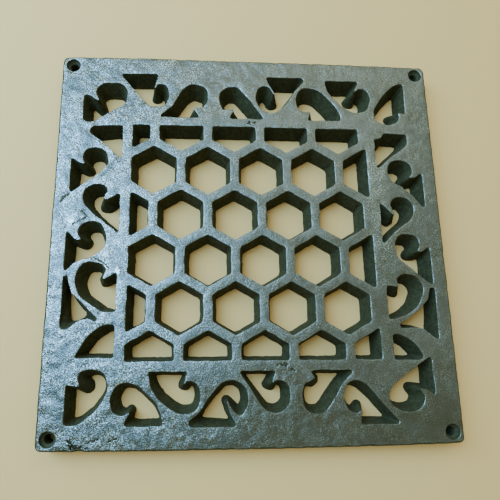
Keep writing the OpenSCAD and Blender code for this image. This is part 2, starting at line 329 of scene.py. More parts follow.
def spaced(lines, length):
    """Where along the line the casting gets its points, as shares of its length.

    The count of points up to a place is the length so far over the longest step, plus how far either
    outline has turned so far over the greatest turn between two points, but no more than the length
    over the shortest step.
    """
    step = length / FINE
    turned = np.zeros(FINE)
    for line in lines:
        along = np.roll(line, -1) - line
        turned = np.maximum(turned, np.abs(np.angle(np.roll(along, -1) / along)))
    turned = softened(turned, length, TURN_BELL)
    wanted = np.minimum(step / LONGEST_STEP + turned / GREATEST_TURN, step / SHORTEST_STEP)
    count = np.concatenate([[0], np.cumsum(wanted)])
    points = int(np.ceil(count[-1]))
    return np.interp(np.arange(points) * count[-1] / points, count, np.arange(FINE + 1) / FINE)


def read_at(values, at):
    """A closed run of FINE values read at shares of its length."""
    return np.interp(at, np.arange(FINE + 1) / FINE, np.append(values, values[0]))


# A shifted step folds where it keeps less than this share of its way forward
FOLD_SHARE = 0.15
# A shift that folds is lessened to this share of itself, at most this many times
UNFOLD_SHARE = 0.75
UNFOLD_PASSES = 16


def unfolded(line, side, shift):
    """A shift along side for each point of a closed line, lessened where the line would fold back.

    A fold is told by a step of the shifted line that runs against the line's own step.
    """
    along = np.roll(line, -1) - line
    for _ in range(UNFOLD_PASSES):
        moved = line + side * shift
        step = np.roll(moved, -1) - moved
        folds = (step * np.conj(along)).real < FOLD_SHARE * np.abs(along) ** 2
        shift = np.where(folds | np.roll(folds, 1), UNFOLD_SHARE * shift, shift)
    return shift


# How far outside an opening other outlines are looked at, and the radius where nothing is ahead, in mm
METAL_REACH = 3.0
OPEN_RADIUS = 50.0
# A point is ahead where its part along side is more than this share of its distance
AHEAD_SHARE = 0.02
# One in so many of an outline's points is looked at
DENSE_STEP = 4


def free_radius(points, side, dense):
    """The radius of the largest disc in the metal that touches the outline at each of its points.

    A disc that touches at p with its centre along side and passes through q has the radius
    |q - p| squared over twice the part of q - p along side. The least is kept over all q of the dense
    outlines near by.
    """
    apart = dense[in_box(dense, points, METAL_REACH)][None, :] - points[:, None]
    reach = (apart * np.conj(side[:, None])).real
    ahead = reach > AHEAD_SHARE * np.abs(apart)
    radius = np.abs(apart) ** 2 / (2 * np.where(ahead, reach, 1))
    return np.where(ahead, radius, OPEN_RADIUS).min(axis=1)


# How many waves a chance surface has
WAVES = 60


class Chance:
    """A smooth chance surface made of plane waves in one band of wavelengths, about 1 in height."""

    def __init__(self, rng, shortest, longest):
        length = np.exp(rng.uniform(np.log(shortest), np.log(longest), WAVES))
        heading = rng.uniform(0, 2 * np.pi, WAVES)
        self.wave = 2 * np.pi / length * np.exp(1j * heading)
        self.phase = rng.uniform(0, 2 * np.pi, WAVES)
        self.size = 1 / np.sqrt(WAVES / 2)

    def __call__(self, at):
        """The surface's height at each place: the sum of the waves' sines."""
        along = (np.conj(self.wave)[None, :] * at[:, None]).real
        return self.size * np.sin(along + self.phase).sum(axis=1)


def eased(value, low, high, start=0, end=1):
    """A value from low to high stretched to start and end by a smooth S, and held there beyond them."""
    share = np.clip((value - low) / (high - low), 0, 1)
    return start + (end - start) * (share * share * (3 - 2 * share))


def line_distance(at, line):
    """The distance from each place to a line's nearest point."""
    start = line[:-1][None, :]
    along = (line[1:] - line[:-1])[None, :]
    offset = at[:, None] - start
    share = np.clip((offset * np.conj(along)).real / np.maximum(np.abs(along) ** 2, NO_SQUARE), 0, 1)
    return np.abs(offset - share * along).min(axis=1)


def in_ring(at, ring):
    """Whether each place is inside a closed line, by counting the edges that lie to its right."""
    ahead = np.roll(ring, -1)
    y = at.imag[:, None]
    across = (ring.imag > y) != (ahead.imag > y)
    rise = np.where(ahead.imag == ring.imag, 1, ahead.imag - ring.imag)
    x = ring.real + (y - ring.imag) * (ahead.real - ring.real) / rise
    return (across & (at.real[:, None] < x)).sum(axis=1) % 2 == 1


def path_of(line):
    """A line of x, y pairs as complex numbers."""
    return np.array([x + 1j * y for x, y in line])


# Broad hollows that the pattern maker carved: a line of x, y, its width and its depth, in mm
GROOVES = [
    ([(-78, 49), (-84, 42.5), (-89, 36)], 2.6, 0.6),
    ([(-106.9, 11.2), (-107, 8.4), (-105.7, 5)], 2.8, 0.6),
    ([(-111, 19.5), (-109.4, 22.6), (-106.4, 25)], 2.4, 0.3),
    ([(-96, 15), (-93.4, 11.9), (-96.4, 9)], 2.6, 0.3),
    ([(-91, -12.5), (-87.6, -7.6), (-84, -4.6)], 2.2, 0.35),
    ([(-88.6, -14.6), (-84.6, -16.6), (-82, -20)], 2.4, 0.3),
]

# Polished bosses that stand out of the hollowed face: x, y, radius and height, in mm
BOSSES = [
    (-103.5, 8.9, 2.0, 0.46), (-101, 13, 1.6, 0.24), (-82, 30.5, 1.8, 0.34), (-83, -10.7, 2.6, 0.3),
    (-76.2, -20.5, 1.8, 0.62), (-72, 46.5, 1.3, 0.24), (-58, 7, 1.3, 0.28),
]

# Cracks, a chip and sharp carved lines: a line of x, y, its width and its depth, in mm
CRACKS = [
    ([(-97.9, -110.3), (-96.4, -111.3), (-95.8, -112.8)], 1.0, 0.8),
    ([(-96.4, -111.3), (-95.2, -110.1)], 0.7, 0.6),
    ([(-95.4, -113.3), (-93.1, -114.8), (-91, -115.6), (-88.5, -116.6)], 2.6, 1.5),
    ([(-88.2, -111.9), (-86.3, -111), (-83.8, -110.6), (-82.3, -109.6)], 0.75, 0.6),
    ([(-77.6, -111.7), (-75.6, -110.7), (-73.1, -109.8)], 0.75, 0.7),
    ([(-1.5, 72.3), (-0.3, 73.7), (0.9, 72.2)], 0.8, 0.7),
    ([(2.2, 73.4), (3.7, 73.8)], 0.7, 0.6),
    ([(13.5, -72.4), (15.7, -73.1), (17.9, -73.6)], 0.8, 0.7),
    ([(16.3, -71.9), (18.5, -72.8)], 0.7, 0.6),
    ([(20.4, -74.9), (22.2, -76.4)], 0.7, 0.6),
    ([(-110.2, 20.4), (-108.8, 23.4), (-105.9, 25.8)], 0.8, 0.34),
    ([(-98.8, 15.4), (-96.4, 13.8), (-94.6, 11.9), (-96.8, 10), (-98.9, 8.7), (-102.6, 6.7)], 0.75, 0.3),
    ([(-102.1, 23.8), (-100.6, 21.7)], 0.8, 0.26),
    ([(-89.2, -12.9), (-87.1, -14), (-85.4, -15.2), (-83.1, -16.9), (-81.3, -19)], 0.85, 0.36),
    ([(-90.2, -13.5), (-88.3, -10.7), (-86.3, -8.4), (-84.2, -6.2)], 0.75, 0.28),
    ([(-74.6, -18.4), (-73.9, -20.6), (-74.7, -22.6)], 0.7, 0.28),
    ([(-83.6, 34.9), (-85.2, 32.7), (-85.6, 30.8), (-83.9, 28.9)], 0.75, 0.28),
    ([(64.8, -83.8), (69.2, -85.2), (72, -86.1)], 0.8, 0.34),
]

# How far a crack strays, for each mm of its depth, and a boss's edge, in mm
CRACK_JAG = 0.4
BOSS_JAG = 0.6
# Painted shade in cracks, for a crack's depth squared, so that a fine line stays grey, and in carved
# hollows, for a hollow's depth
CRACK_SHADE = 3
GROOVE_SHADE = 0.45
# Shortest and longest chance waves, in mm: broad hollows, dents, nicks, strong areas, and jags in x and y
FACE_WAVES = [(24, 70), (9, 22), (4, 9), (50, 120), (1.2, 3), (1.2, 3)]
# How much the face falls all over and by each kind of wave, as shares of the hollows' depth
LEVEL_SHARE = 0.6
BROAD_SHARE = 0.35
DENT_SHARE = 0.5
NICK_SHARE = 0.22
# How the hollows' strength goes, from where to where and from what to what: outwards from the centre, by
# chance, towards the flatter right, and towards the left
MARGIN_STRENGTH = (70, 88, 0.35, 1)
AREA_STRENGTH = (-0.6, 0.8, 0.6, 1)
RIGHT_STRENGTH = (30, 95, 1, 0.4)
LEFT_STRENGTH = (-60, -90, 1, 1.25)
# How wide the crown's fall beside a lip is, and the least that the face lies below full height, in mm
CROWN_WIDTH = 1.1
LEAST_FALL = 0.01


class Face:
    """How far the face lies below the plate's full height, at any place."""

    def __init__(self, sizes):
        rng = np.random.default_rng(sizes.seed)
        self.crown = sizes.crown / MM
        self.hollow = sizes.hollow / MM
        surfaces = [Chance(rng, *band) for band in FACE_WAVES]
        self.broad, self.dents, self.nicks, self.areas, *self.jags = surfaces

    def depth(self, at, edge):
        """The face's fall: the crown near a lip, chance hollows, dents that meet in creases, and cuts.

        edge is the distance to the nearest lip.
        """
        fall = self.crown * np.exp(-((edge / CROWN_WIDTH) ** 2))
        margin = eased(np.maximum(np.abs(at.real), np.abs(at.imag)), *MARGIN_STRENGTH)
        strong = eased(self.areas(at), *AREA_STRENGTH)
        strong = strong * eased(at.real, *RIGHT_STRENGTH)
        strong = strong * eased(at.real, *LEFT_STRENGTH)
        waves = BROAD_SHARE * self.broad(at) + DENT_SHARE * np.abs(self.dents(at))
        waves = waves + NICK_SHARE * self.nicks(at)
        fall = fall + self.hollow * margin * strong * (LEVEL_SHARE + waves)
        return np.maximum(fall + self.carving(at) + self.marks(at), LEAST_FALL)

    def carving(self, at):
        """How deep the broad carved hollows are: bells across each hollow's line."""
        deep = np.zeros(len(at))
        for line, width, depth in GROOVES:
            deep += depth * np.exp(-((line_distance(at, path_of(line)) / (width / 2)) ** 2))
        return deep

    def marks(self, at):
        """How deep the cracks are, steep and jagged, less how high the bosses stand, like torn bells."""
        high = np.zeros(len(at))
        stray = self.jags[0](at) + 1j * self.jags[1](at)
        for x, y, radius, height in BOSSES:
            high += height * np.exp(-((np.abs(at + BOSS_JAG * stray - (x + 1j * y)) / radius) ** 2))
        deep = np.zeros(len(at))
        for line, width, depth in CRACKS:
            off = line_distance(at + CRACK_JAG * depth * stray, path_of(line)) / (width / 2)
            deep = np.maximum(deep, depth * np.exp(-(off**4)))
        return deep - high

    def wall_black_and_shade(self, at):
        """How dark the face is painted: shade that is black in cracks and grey in carved hollows, and below
        0 on the bosses, which are painted bright as highlights.
        """
        marks = self.marks(at)
        return np.where(marks > 0, CRACK_SHADE * marks**2, marks) + GROOVE_SHADE * self.carving(at)


# A wall's rows: turns round the lips at the face and the back, and shares of the way between them
LIP_TURNS = np.radians([0, 30, 60, 90])
BACK_TURNS = np.radians([0, 45, 90])
WALL_ROWS = (0.07, 0.5, 0.94)
# The plate's rim takes the walls' dark colour this many times nearer the face than an opening's wall:
# painted shade along the plate's edge
RIM_SHADE = 8


def wall_rows(front, back, side, back_side, lip, back_lip, height, face_fall):
    """A ring of the casting from its lip on the face to its lip on the back, as rows of points.

    Across the outline each row is the ruled line between front and back at its depth, moved into the
    metal by the lip's quarter circle at the face and again at the back. The fall of the face at the lip
    fades out towards the back. Also gives each row's depth below the face.
    """
    depth = [lip * (1 - np.cos(turn)) for turn in LIP_TURNS]
    depth += [lip + share * (height - lip - back_lip) for share in WALL_ROWS]
    depth += [height - back_lip * (1 - np.sin(turn)) for turn in BACK_TURNS]
    depth = np.array(depth)
    into = np.zeros(depth.shape)
    into[:len(LIP_TURNS)] = lip * (1 - np.sin(LIP_TURNS))[:, None]
    back_into = np.zeros(depth.shape)
    back_into[-len(BACK_TURNS):] = back_lip * (1 - np.cos(BACK_TURNS))[:, None]
    share = depth / height
    flat = front + (back - front) * share + side * into + back_side * back_into
    return flat, height - depth - face_fall * (1 - share), depth


def even_points(step, outer):
    """Points in rows set as in a honeycomb, over a box about the origin as large as the outer ring's."""
    row = step * np.sqrt(3) / 2
    half_w, half_h = np.ptp(outer.real) / 2, np.ptp(outer.imag) / 2
    up = np.arange(np.ceil(-half_h / row), half_h / row)
    across = np.arange(np.ceil(-half_w / step), half_w / step)
    return ((across[None, :] + np.where(up % 2, 0.5, 0)[:, None]) * step + 1j * up[:, None] * row).ravel()


# The step of the finer net over cracks and bosses, in mm
MARK_STEP = 0.3
# How far that net reaches past a crack's half width, in mm, and round a boss, in its radii
CRACK_REACH = 0.6
BOSS_REACH = 1.4
# Distances to a lip are worked out up to this, in mm
FAR = 9.0
# How near a lip a net's point may lie, as a share of the net's step
NET_CLEAR = 0.45
# Corners this close are one to the triangulation, in mm, and a triangle this flat is dropped
CORNER_MERGE = 1e-7
NO_AREA = 1e-9


def by_marks(at):
    """Whether each place is on a crack or a boss, or close to one."""
    close = np.zeros(len(at), dtype=bool)
    for line, width, _ in CRACKS:
        path, reach = path_of(line), width / 2 + CRACK_REACH
        mine = np.flatnonzero(in_box(at, path, reach))
        close[mine] |= line_distance(at[mine], path) < reach
    for x, y, radius, _ in BOSSES:
        close |= np.abs(at - (x + 1j * y)) < BOSS_REACH * radius
    return close


def in_metal(at, rings):
    """Whether each place is inside the first ring and outside the others."""
    inside = in_ring(at, rings[0])
    for ring in rings[1:]:
        mine = np.flatnonzero(in_box(at, ring))
        inside[mine] &= ~in_ring(at[mine], ring)
    return inside


def net_points(step, rings, marked):
    """Even points in the metal, and how near a lip each is.

    Where marked says so, a finer net, rounded to a nanometre and sorted, takes over at the face's marks.
    """
    grid = even_points(step, rings[0])
    if marked:
        fine = np.unique(np.round(even_points(MARK_STEP, rings[0]), 6))
        grid = np.concatenate([grid[~by_marks(grid)], fine[by_marks(fine)]])
    grid = grid[in_metal(grid, rings)]
    near = np.full(len(grid), FAR)
    for ring in rings:
        mine = np.flatnonzero(in_box(grid, ring, FAR))
        near[mine] = np.minimum(near[mine], line_distance(grid[mine], np.append(ring, ring[0])))
    keep = near > NET_CLEAR * step
    return grid[keep], near[keep]


def filled(rings, inner):
    """Triangles that fill the metal between the rings, through the inner points, facing up.

    The points are numbered ring after ring, then the inner points. Only triangles between ring points
    can lie in an opening, so only their middles are looked up.
    """
    places = np.concatenate(rings + [inner])
    starts = np.cumsum([0] + [len(ring) for ring in rings])
    edges = [np.stack([start + np.arange(len(ring)), start + (np.arange(len(ring)) + 1) % len(ring)], 1)
             for start, ring in zip(starts, rings)]
    corners = np.stack([places.real, places.imag], 1)
    result = delaunay_2d_cdt(corners.tolist(), np.concatenate(edges).tolist(), [], 0, CORNER_MERGE, False)
    if len(result[0]) != len(places):
        raise RuntimeError("two lips cross: make the lip smaller")
    triangles = np.array(result[2])
    a, b, c = (places[triangles[:, i]] for i in range(3))
    turn = (np.conj(b - a) * (c - a)).imag
    triangles = np.where(turn[:, None] > 0, triangles, triangles[:, ::-1])
    keep = np.abs(turn) > NO_AREA
    doubt = np.flatnonzero((triangles < starts[-1]).all(axis=1))
    keep[doubt] &= in_metal((a + b + c)[doubt] / 3, rings)
    return triangles[keep]


# The plate's top and bottom edges fall back by this power of the way to the corner
BOW_POWER = 3
# Shortest and longest chance waves along an outline, in mm
RIM_WAVES = (9, 60)
STRAY_WAVES = (7, 30)
BROKEN_WAVES = (12, 50)
RAG_WAVES = (3.5, 10)
WEAR_WAVES = (5, 40)
# The rim's share of the wobble, and the least share of that by which it lies inside the drawn edge
RIM_STRAY = 0.5
RIM_LEAST = 0.05
# Heights of the broken run between which a back edge goes from whole to broken
BROKEN_FROM = (0.15, 1.1)
# How much a lip's radius varies, and the most of the free radius that it may take
WEAR = 0.22
LIP_ROOM = 0.45


def casting_outlines(sizes, plate, openings, rng):
    """The rim and each opening: its kind, its two outlines, their length, its stray and the back's rag.

    The stray runs along both outlines, and the rag is added to it at the back.
    """
    (line, _), length = matched_lines((plate, plate), PLATE_BELLS)
    fallback = sizes.bow / MM * (np.abs(line.real) / plate.real.max()) ** BOW_POWER
    fallback = np.sign(line.imag) * fallback * (np.abs(line.imag) / plate.imag.max())
    line = line.real + 1j * (line.imag - fallback)
    inside = np.maximum(1 + chance_line(rng, length, *RIM_WAVES), RIM_LEAST)
    stray = RIM_STRAY * sizes.wobble / MM * inside
    outlines = [("rim", [line, line], length, stray, 0 * stray)]
    for pair in openings:
        lines, length = matched_lines(pair, OPENING_BELLS)
        stray = sizes.wobble / MM * chance_line(rng, length, *STRAY_WAVES)
        broken = eased(chance_line(rng, length, *BROKEN_WAVES), *BROKEN_FROM)
        rag = sizes.rag / MM * broken * chance_line(rng, length, *RAG_WAVES)
        outlines.append(("lip", lines, length, stray, rag))
    return outlines


def casting_surface(sizes):
    """The whole casting: points, four-sided wall faces, triangles, and each point's depth and edge. The
    depth of the rim and of the face also carries painted shade and the bosses' painted highlight.
    """
    places, corners = welded(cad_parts[PLATE].data)
    height = np.ptp(places[:, 2])
    openings, plate, holes = opening_lines(places, corners)
    rng = np.random.default_rng(sizes.seed + 1)
    face = Face(sizes)
    outlines = casting_outlines(sizes, plate, openings, rng)
    radii = {"lip": sizes.lip / MM, "rim": sizes.rim / MM}
    dense = np.concatenate([lines[0][::DENSE_STEP] for _, lines, _, _, _ in outlines])
    rows = []
    for kind, lines, length, stray, rag in outlines:
        at = spaced(lines, length)
        worn = 1 + WEAR * chance_line(rng, length, *WEAR_WAVES)
        side, back_side = [unit(read_at(metal_side(line), at)) for line in lines]
        front, back = [read_at(line, at) for line in lines]
        front = front + side * unfolded(front, side, read_at(stray, at))
        back = back + back_side * unfolded(back, back_side, read_at(stray + rag, at))
        lip = np.minimum(read_at(worn, at) * radii[kind], LIP_ROOM * free_radius(front, side, dense))
        lip = unfolded(front, side, lip)
        back_lip = unfolded(back, back_side, np.full(len(back), sizes.back_lip / MM))
        edge = front + side * lip
        fall = face.depth(edge, np.zeros(len(edge)))
        rows.append(wall_rows(front, back, side, back_side, lip, back_lip, height, fall))
    flat, z, depth = rows[0]
    # Painted shade: the rim's depths are scaled up so that its rounding takes the walls' dark colour
    rows[0] = (flat, z, RIM_SHADE * depth)
    rows += [hole_rows(ring, places, height, face) for ring in holes]
    return knit(rows, face, sizes, height)


# How much of the walls' dark colour, partly painted shade, the shelf inside a fixing hole takes, where a
# wall's is 1, and the sides of its circles
SHELF_BLACK_AND_SHADE = 0.45
HOLE_SIDES = 40
# How far off a hole's mouth or bore a corner of the frame may lie, in mm
HOLE_SLACK = 0.05


def hole_rows(ring, places, height, face):
    """A countersunk fixing hole as rows of points: a lip, a steep side, a dished shelf and the bore.

    The mouth and the bore are the widest and the narrowest circle of corners about the hole's centre,
    and the cone's end is the highest corner of the narrowest circle. The profile gives each row's
    radius and depth in mm and its share of the walls' dark colour, which is partly painted shade.
    """
    centre = ring.mean()
    flat = places[:, 0] + 1j * places[:, 1]
    own = np.abs(flat - centre) < np.abs(ring - centre).max() + HOLE_SLACK
    away = np.abs(flat[own] - centre)
    mouth = away.max()
    bore = away.min()
    sink = height - places[own, 2][away < bore + HOLE_SLACK].max() + places[:, 2].min()
    turn = np.exp(-1j * np.arange(HOLE_SIDES) / HOLE_SIDES * 2 * np.pi)
    profile = [
        (mouth + 0.22, 0, 0), (mouth + 0.06, 0.05, 0), (mouth - 0.1, 0.25, 0.5), (mouth - 0.25, 0.9, 1),
        (mouth - 0.4, 1.3, SHELF_BLACK_AND_SHADE), (bore + 0.55, sink - 0.45, SHELF_BLACK_AND_SHADE),
        (bore + 0.15, sink - 0.2, SHELF_BLACK_AND_SHADE),
        (bore, sink + 0.1, 1), (bore, sink + 1.2, 1), (bore, height * 0.6, 1), (bore, height - 0.8, 1),
        (bore + 0.08, height - 0.25, 1), (bore + 0.3, height, 1),
    ]
    radius, depth, wall_black_and_shade = [np.array(one)[:, None] + np.zeros(len(turn)) for one in zip(*profile)]
    fall = face.depth(centre + turn * radius[0], np.zeros(len(turn)))
    return centre + turn * radius, height - depth - fall * (1 - depth / height), wall_black_and_shade


# The back's hollows, in mm: the deepest, how far from a lip they start and are full, and their waves
BACK_HOLLOW = 0.12
BACK_LIP_REACH = (0.3, 4)
BACK_WAVES = (6, 30)


def knit(rows, face, sizes, height):
    """One closed surface out of the walls' rows and the nets of the face and the back."""
    points, depths, edges, quads, triangles = [], [], [], [], []
    first, last = [], []
    count = 0
    for flat, z, depth in rows:
        deep, wide = flat.shape
        number = count + np.arange(deep * wide).reshape(deep, wide)
        ahead = np.roll(number, -1, axis=1)
        quads.append(np.stack([ahead[:-1], number[:-1], number[1:], ahead[1:]], -1).reshape(-1, 4))
        points.append(np.stack([flat.real, flat.imag, z], -1).reshape(-1, 3))
        depths.append(depth.ravel())
        edges.append(np.zeros(deep * wide))
        first.append(number[0])
        last.append(number[-1])
        count += deep * wide
    back = Chance(np.random.default_rng(sizes.seed + 2), *BACK_WAVES)
    nets = (
        ([flat[0] for flat, _, _ in rows], first, sizes.face_step, True),
        ([flat[-1] for flat, _, _ in rows], last, sizes.back_step, False),
    )
    for rings, numbers, step, up in nets:
        inner, near = net_points(step / MM, rings, up)
        where = np.concatenate(numbers + [count + np.arange(len(inner))])
        faces = where[filled(rings, inner)]
        if up:
            z = height - face.depth(inner, near)
            # The face's painted shade and boss highlights go into its depth attribute
            depths.append(face.wall_black_and_shade(inner))
        else:
            z = BACK_HOLLOW * eased(near, *BACK_LIP_REACH) * (0.5 + 0.5 * np.clip(back(inner), -1, 1))
            depths.append(np.full(len(inner), height))
            faces = faces[:, ::-1]
        points.append(np.stack([inner.real, inner.imag, z], -1))
        edges.append(near)
        triangles.append(faces)
        count += len(inner)
    return [np.concatenate(parts) for parts in (points, quads, triangles, depths, edges)]


def piece_from(name, points, quads, triangles, marks):
    """A smooth-shaded object at the origin from points in mm, faces and named values at the points."""
    mesh = bpy.data.meshes.new(name)
    mesh.vertices.add(len(points))
    mesh.vertices.foreach_set("co", (points * MM).astype(np.float32).ravel())
    mesh.loops.add(quads.size + triangles.size)
    corners = np.concatenate([quads.ravel(), triangles.ravel()])
    mesh.loops.foreach_set("vertex_index", corners.astype(np.int32))
    sizes = np.concatenate([np.full(len(quads), 4), np.full(len(triangles), 3)])
    mesh.polygons.add(len(sizes))
    mesh.polygons.foreach_set("loop_start", (np.cumsum(sizes) - sizes).astype(np.int32))
    mesh.polygons.foreach_set("use_smooth", np.ones(len(sizes), dtype=bool))
    mesh.update(calc_edges=True)
    if mesh.validate(verbose=True):
        raise RuntimeError("the surface had faults")
    for mark, values in marks.items():
        mesh.attributes.new(mark, "FLOAT", "POINT").data.foreach_set("value", values.astype(np.float32))
    piece = bpy.data.objects.new(name, mesh)
    bpy.context.scene.collection.objects.link(piece)
    return piece


class Nodes:
    """Short calls for adding linked nodes to a node tree."""

    def __init__(self, tree):
        self.tree = tree

    def add(self, kind, values=None, **settings):
        """A node with settings, whose inputs are set to values or joined to sockets, by name or number."""
        node = self.tree.nodes.new(kind)
        for key, value in settings.items():
            setattr(node, key, value)
        for key, value in (values or {}).items():
            if isinstance(value, bpy.types.NodeSocket):
                self.tree.links.new(value, node.inputs[key])
            else:
                node.inputs[key].default_value = value
        return node

    def math(self, operation, first, second=0.0, clamp=False):
        """A Math node's result."""
        values = {0: first, 1: second}
        return self.add("ShaderNodeMath", values, operation=operation, use_clamp=clamp).outputs[0]

    def times(self, first, second):
        """Two values multiplied."""
        return self.math("MULTIPLY", first, second)

    def noise(self, where, scale, detail, rough, distort=0.0):
        """A noise texture's value from 0 to 1, at a scale in features to the millimetre."""
        values = {"Vector": where, "Scale": scale, "Detail": detail, "Roughness": rough}
        return self.add("ShaderNodeTexNoise", {**values, "Distortion": distort}).outputs[0]

    def spread(self, value, low, high, start=0.0, end=1.0):
        """The same as eased, by a Map Range node."""
        values = {"Value": value, "From Min": low, "From Max": high, "To Min": start, "To Max": end}
        return self.add("ShaderNodeMapRange", values, interpolation_type="SMOOTHSTEP").outputs[0]

    def patches(self, where, noise, strength):
        """A noise that is spread, given the values for both."""
        return self.spread(self.noise(where, *noise), *strength)

    def mix(self, share, first, second):
        """Two colours mixed by a share, through the Mix node's colour sockets 6, 7 and 2."""
        return self.add("ShaderNodeMix", {0: share, 6: first, 7: second}, data_type="RGBA").outputs[2]


def node_group(name, values, results):
    """A node group that takes a place and values: its tree's short calls and the sockets of its ends."""
    group = bpy.data.node_groups.new(name, "ShaderNodeTree")
    sockets = [("Place", "INPUT", "Vector")] + [(value, "INPUT", "Float") for value in values]
    for socket, way, kind in sockets + [(result, "OUTPUT", "Float") for result in results]:
        group.interface.new_socket(name=socket, in_out=way, socket_type="NodeSocket" + kind)
    start, end = group.nodes.new("NodeGroupInput"), group.nodes.new("NodeGroupOutput")
    return Nodes(group), start.outputs, end.inputs


# The sand's grain: the fine one's detail and roughness, the coarse one's noise and its weight beside the
# fine one, and the heights of the fine one between which a top shows
FINE_DETAIL = (1.5, 0.6)
COARSE_GRAIN = (0.32, 2.0, 0.5)
COARSE_WEIGHT = 1.3
TOP_HEIGHTS = (0.46, 0.62)


def sand_grain():
    """Group: the grain that moulding sand leaves, as a height and as a mask of the grains' tops."""
    tool, start, end = node_group("Sand grain", ["Fineness"], ["Height", "Tops"])
    fine = tool.noise(start["Place"], start["Fineness"], *FINE_DETAIL)
    coarse = tool.noise(start["Place"], *COARSE_GRAIN)
    tool.tree.links.new(tool.math("ADD", fine, tool.times(coarse, COARSE_WEIGHT)), end["Height"])
    tool.tree.links.new(tool.spread(fine, *TOP_HEIGHTS), end["Tops"])
    return tool.tree


# Depths between which the walls' dark colour, partly painted shade, turns into face and a lip is painted
# bright, as wear and as highlight, and the distances from a lip between which that starts and is full, in mm
FACE_DEPTHS = (0.5, 0.12)
LIP_DEPTHS = (1.0, 0.3)
LIP_NEAR = (0.9, 0.0)
# Patches of the bright lips, worn and painted as highlight: a noise and its spread
LIP_PATCHES = (0.22, 2.0, 0.6), (0.35, 0.65, 0.25, 1.0)


def face_and_lip_masks():
    """Group: the face, against the walls' dark colour that is partly painted shade, and the lips, brightened
    by handling and the polishing wheel and painted as highlight, from the casting's own depth and edge.
    """
    tool, start, end = node_group("Face and bright lips", ["Depth", "Edge"], ["Face", "Lip"])
    lip = tool.times(tool.spread(start["Edge"], *LIP_NEAR), tool.spread(start["Depth"], *LIP_DEPTHS))
    patchy = tool.patches(start["Place"], *LIP_PATCHES)
    tool.tree.links.new(tool.spread(start["Depth"], *FACE_DEPTHS), end["Face"])
    tool.tree.links.new(tool.times(lip, patchy), end["Lip"])
    return tool.tree


# Features of the fine grain to the millimetre, and the grain's height in the bump, in metres
FINENESS = 1.55
GRAIN_HEIGHT = 0.30 * MM
# x, in mm, from which the face takes a painted cool reflection of the window light at the left, and at which
# it is full
LEFT_REFLECTION_SIDE = (40, -100)
# Patches of brown and of bright grains, which are bared metal and painted glints: a noise and its spread,
# and how the painted cool reflection at the left changes their strength
BROWN_PATCHES = (0.035, 3.0, 0.6, 0.6), (0.42, 0.66)
BROWN_AT_LEFT = (0.0, 1.0, 0.6, 0.15)
GLINT_AND_BARE_PATCHES = (0.10, 4.0, 0.6, 0.5), (0.30, 0.70, 0.06, 0.40)
GLINTS_AT_LEFT = (0.0, 1.0, 1.0, 2.9)
# A bar at the right with more bright grains, bared metal and painted glints: its middle, how far from it
# across and along they start and are full, in mm, and its patches
GLINT_BAR = (76, 18)
GLINT_BAR_WIDTH = (12, 1)
GLINT_BAR_LENGTH = (55, 20)
GLINT_BAR_PATCHES = (0.16, 3.0, 0.6, 0.4), (0.34, 0.62, 0.09, 0.66)
# How bright the lips are painted, as wear and as highlight
LIP_WEAR_AND_HIGHLIGHT = 0.12
# y, in mm, from which and to which painted shade darkens the bottom margin, from and to what strength, and
# how the painted cool reflection at the left changes that
BOTTOM_SHADE_MARGIN = (-72, -100, 0.0, 0.38)
BOTTOM_SHADE_AT_LEFT = (0.3, 1.0, 1.0, 0.25)
# Heights of a boss, as the face's darkness below 0, between which it is painted near white, a highlight on
# its polished metal
BOSS_HIGHLIGHT_HEIGHTS = (-0.06, -0.50)
# Darker caked patches on the walls: a noise and its spread, and the darker patches' share of the walls'
# colour
CAKED_PATCHES = (0.45, 4.0, 0.7, 0.3), (0.35, 0.7)
DARKER_PATCH_SHARE = 0.55
# Patches of gloss: a noise, the values that it is spread from, and what it then adds to the roughness
GLOSS_NOISE = (0.11, 3.0, 0.6)
GLOSS_SPREAD = (0.3, 0.7)
GLOSS_FROM, GLOSS_TO = -0.06, 0.10
# The walls' roughness, how metallic walls and face are, the face's coat of wax, and the specular level
WALL_ROUGH = 0.95
METALLIC = (0.1, 0.85)
WAX_COAT = 0.35
WAX_ROUGH = 0.22
IRON_SPECULAR = 0.2


